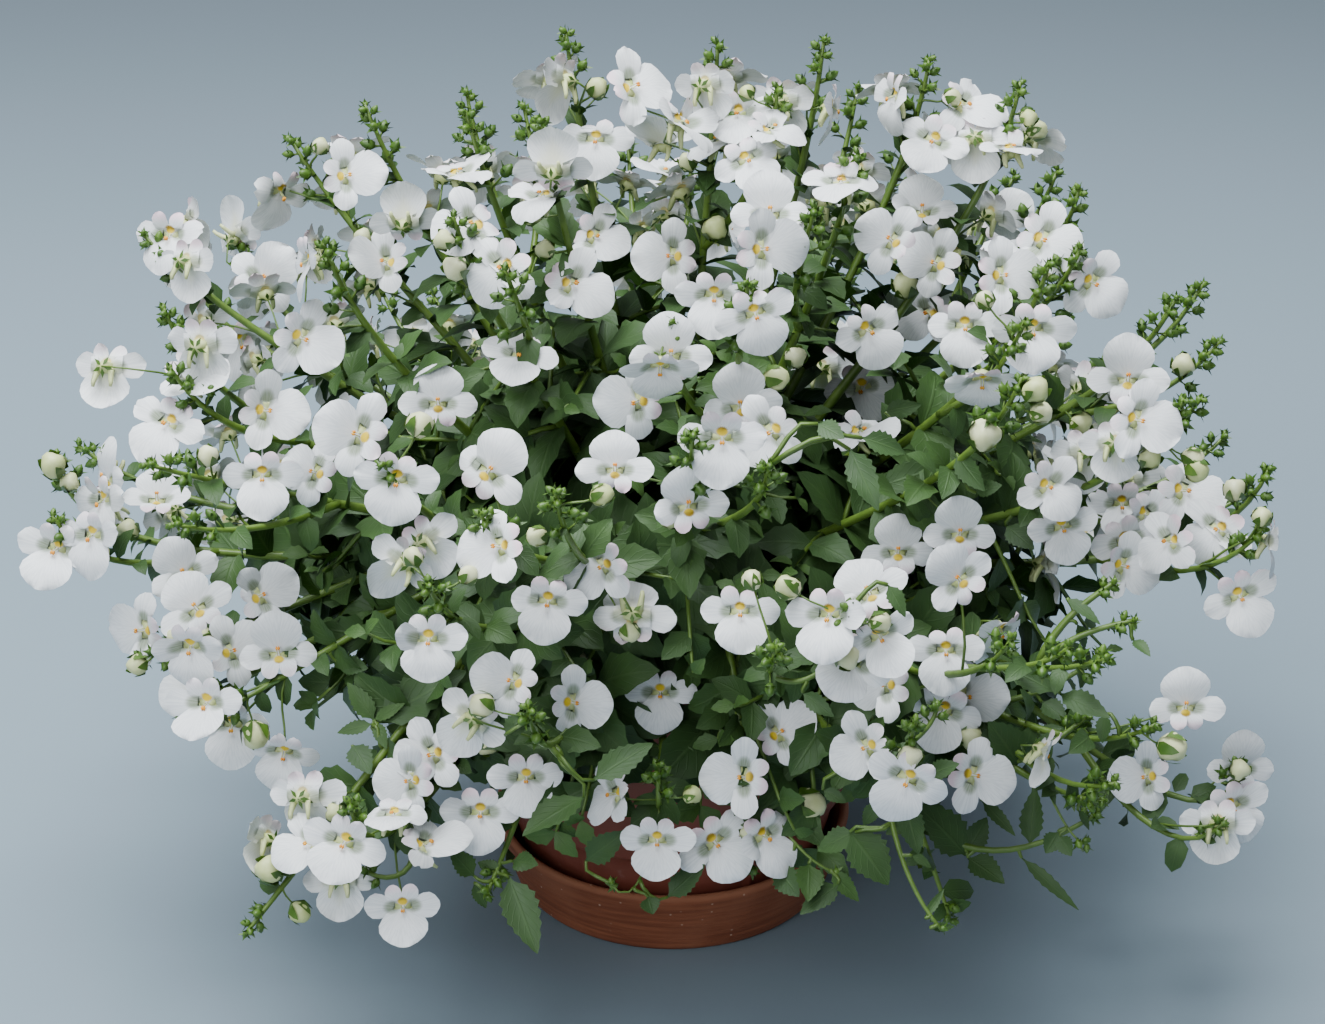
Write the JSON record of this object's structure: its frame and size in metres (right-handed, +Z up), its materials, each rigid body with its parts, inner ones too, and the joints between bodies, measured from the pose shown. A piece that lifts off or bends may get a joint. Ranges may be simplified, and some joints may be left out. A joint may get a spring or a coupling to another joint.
{
  "type": "potted twinspur",
  "caption": "Bushy twinspur plant with many white two-spurred flowers, in a round plastic pot of soil standing in a clay saucer.",
  "frame": {"origin": "centre of the saucer's underside, on the surface that it rests on", "axes": "+Z up; -Y towards the side that the picture shows; +X to the right of that side"},
  "size_m": [0.3659, 0.3122, 0.2655],
  "materials": {
    "clay": "matte unglazed terracotta with fine turning lines and pale flecks",
    "pot_plastic": "satin moulded plastic, terracotta coloured",
    "potting_soil": "damp crumbly peat mix",
    "shoot": "green stems, leaves, sepals and closed buds with a soft sheen",
    "petal": "thin white petals, matte, with a pink blush on the upper lobes and a yellow throat"
  },
  "bodies": {
    "root": {"saucer": "clay", "pot": "pot_plastic", "soil": "potting_soil", "shoot_01": "shoot", "shoot_02": "shoot", "shoot_03": "shoot", "shoot_04": "shoot", "shoot_05": "shoot", "shoot_06": "shoot", "shoot_07": "shoot", "shoot_08": "shoot", "shoot_09": "shoot", "shoot_10": "shoot", "shoot_11": "shoot", "shoot_12": "shoot", "shoot_13": "shoot", "shoot_14": "shoot", "shoot_15": "shoot", "shoot_16": "shoot", "shoot_17": "shoot", "shoot_18": "shoot", "shoot_19": "shoot", "shoot_20": "shoot", "shoot_21": "shoot", "shoot_22": "shoot", "shoot_23": "shoot", "shoot_24": "shoot", "shoot_25": "shoot", "shoot_26": "shoot", "shoot_27": "shoot", "shoot_28": "shoot", "shoot_29": "shoot", "shoot_30": "shoot", "shoot_31": "shoot", "shoot_32": "shoot", "shoot_33": "shoot", "shoot_34": "shoot", "shoot_35": "shoot", "shoot_36": "shoot", "shoot_37": "shoot", "shoot_38": "shoot", "shoot_39": "shoot", "shoot_40": "shoot", "shoot_41": "shoot", "shoot_42": "shoot", "shoot_43": "shoot", "shoot_44": "shoot", "shoot_45": "shoot", "shoot_46": "shoot", "shoot_47": "shoot", "shoot_48": "shoot", "shoot_49": "shoot", "shoot_50": "shoot", "shoot_51": "shoot", "shoot_52": "shoot", "shoot_53": "shoot", "shoot_54": "shoot", "shoot_55": "shoot", "shoot_56": "shoot", "shoot_57": "shoot"}
  },
  "joints": []
}
